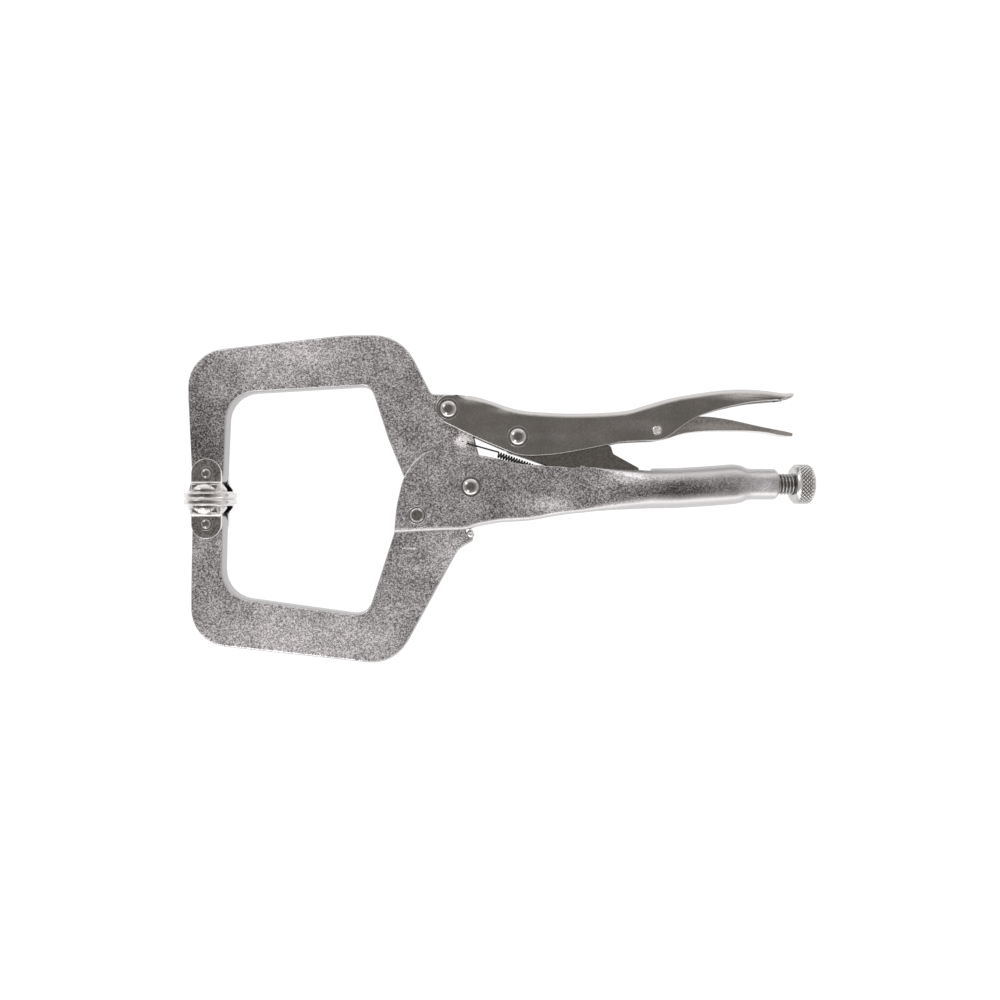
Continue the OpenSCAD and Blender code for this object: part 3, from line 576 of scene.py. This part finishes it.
outline = np.concatenate([front, np.stack([np.full(band_rows, knob_r), band], 1),
                          np.stack([knob_r - shoulder_r + shoulder_r * np.cos(shoulder),
                                    k1 - shoulder_r + shoulder_r * np.sin(shoulder)], 1),
                          [[3.0, k1], [2.6, k1 - 0.25], [0, k1 - 0.35]]])


def knurl(t, x, r):
    """Two crossed sets of V grooves. a is 1 where count * t / 2 pi + x / pitch is a whole number
    and falls evenly to 0 midway, b is the same with a minus, and the cut is knurl_deep times
    2.2 max(a, b) - 1.2, not below 0. It runs out at both ends of the band."""
    a = np.abs(2 * np.mod(knurl_count * t / (2 * math.pi) + (x - k0) / knurl_pitch, 1) - 1)
    b = np.abs(2 * np.mod(knurl_count * t / (2 * math.pi) - (x - k0) / knurl_pitch, 1) - 1)
    ends = np.clip((x - k0 - 1.5) / knurl_run_out, 0, 1) * np.clip((k1 - 1.4 - x) / knurl_run_out, 0, 1)
    return -knurl_deep * ends * (r > knob_r - 0.3) * np.clip(2.2 * np.maximum(a, b) - 1.2, 0, 1)


dress(turned("screw_knob_knurled", [0, *knob_at[1:]], (1, 0, 0), outline, sides=420, shape=knurl),
      knob_plate, "knob", "screw_knob")

# ---- table, light and camera -------------------------------------------------------------------
# White paper under the tool in a bright room, a long soft box low on either side, and two small
# ones on the left for the rivets' highlights. The camera looks straight down over the handle's root.

half_table, under = 3000, -0.2
table = mesh_object("table", [[-half_table, -half_table, under], [half_table, -half_table, under],
                              [half_table, half_table, under], [-half_table, half_table, under]],
                    [[[0, 1, 2, 3]]], False)
paper_white, glow_strength, glow_share = (0.86, 0.86, 0.86, 1), 1.15, 0.85
paper = bpy.data.materials.new("white_paper")
paper.use_nodes = True
tree = paper.node_tree
tree.nodes.remove(tree.nodes["Principled BSDF"])
ray = add(tree, "LightPath").outputs
seen = add(tree, "Math", operation="MAXIMUM", _0=ray["Is Camera Ray"], _1=ray["Is Glossy Ray"]).outputs[0]
share = add(tree, "Math", operation="MULTIPLY", _0=seen, _1=glow_share).outputs[0]
lit = add(tree, "BsdfDiffuse", Color=paper_white).outputs[0]
glow = add(tree, "Emission", Strength=glow_strength).outputs[0]
sheet = add(tree, "MixShader", _0=share, _1=lit, _2=glow).outputs[0]
tree.links.new(sheet, tree.nodes["Material Output"].inputs["Surface"])
table.data.materials.append(paper)

room = bpy.data.worlds.new("room")
room.use_nodes = True
bpy.context.scene.world = room
room.node_tree.nodes["Background"].inputs["Color"].default_value = (0.8, 0.762, 0.732, 1)
# Each lamp: its place and size in metres, its power in watts and the point it aims at. The long
# boxes shine level across the tool, the small ones down on it.
for name, place, size, power, aim in (
        ("far_soft_box", (-0.25, 1.0, 0.46), (2.6, 0.9), 4.4, (-0.25, 0, 0.46)),
        ("near_soft_box", (-0.25, -1.0, 0.21), (2.6, 0.4), 4.8, (-0.25, 0, 0.21)),
        ("left_far_box", (-0.78, 0.57, 0.53), (0.4, 0.4), 1.4, (0, 0, 0)),
        ("left_near_box", (-0.5, -0.74, 0.65), (0.4, 0.4), 1.9, (0, 0, 0))):
    lamp = bpy.data.lights.new(name, "AREA")
    lamp.shape, lamp.size, lamp.size_y, lamp.energy = "RECTANGLE", *size, power
    box = bpy.data.objects.new(name, lamp)
    box.location = place
    box.rotation_euler = (Vector(aim) - Vector(place)).to_track_quat("-Z", "Y").to_euler()
    bpy.context.scene.collection.objects.link(box)

sensor, height, width_seen = 36, 390, 450
camera = bpy.data.objects.new("camera", bpy.data.cameras.new("camera"))
camera.location = (jaw_pivot + [12.92, -5.86, height]) * mm
camera.data.sensor_width, camera.data.lens = sensor, sensor * height / width_seen
camera.data.clip_start = 0.01
bpy.context.scene.collection.objects.link(camera)
bpy.context.scene.camera = camera
bpy.context.scene.view_settings.view_transform = "Standard"
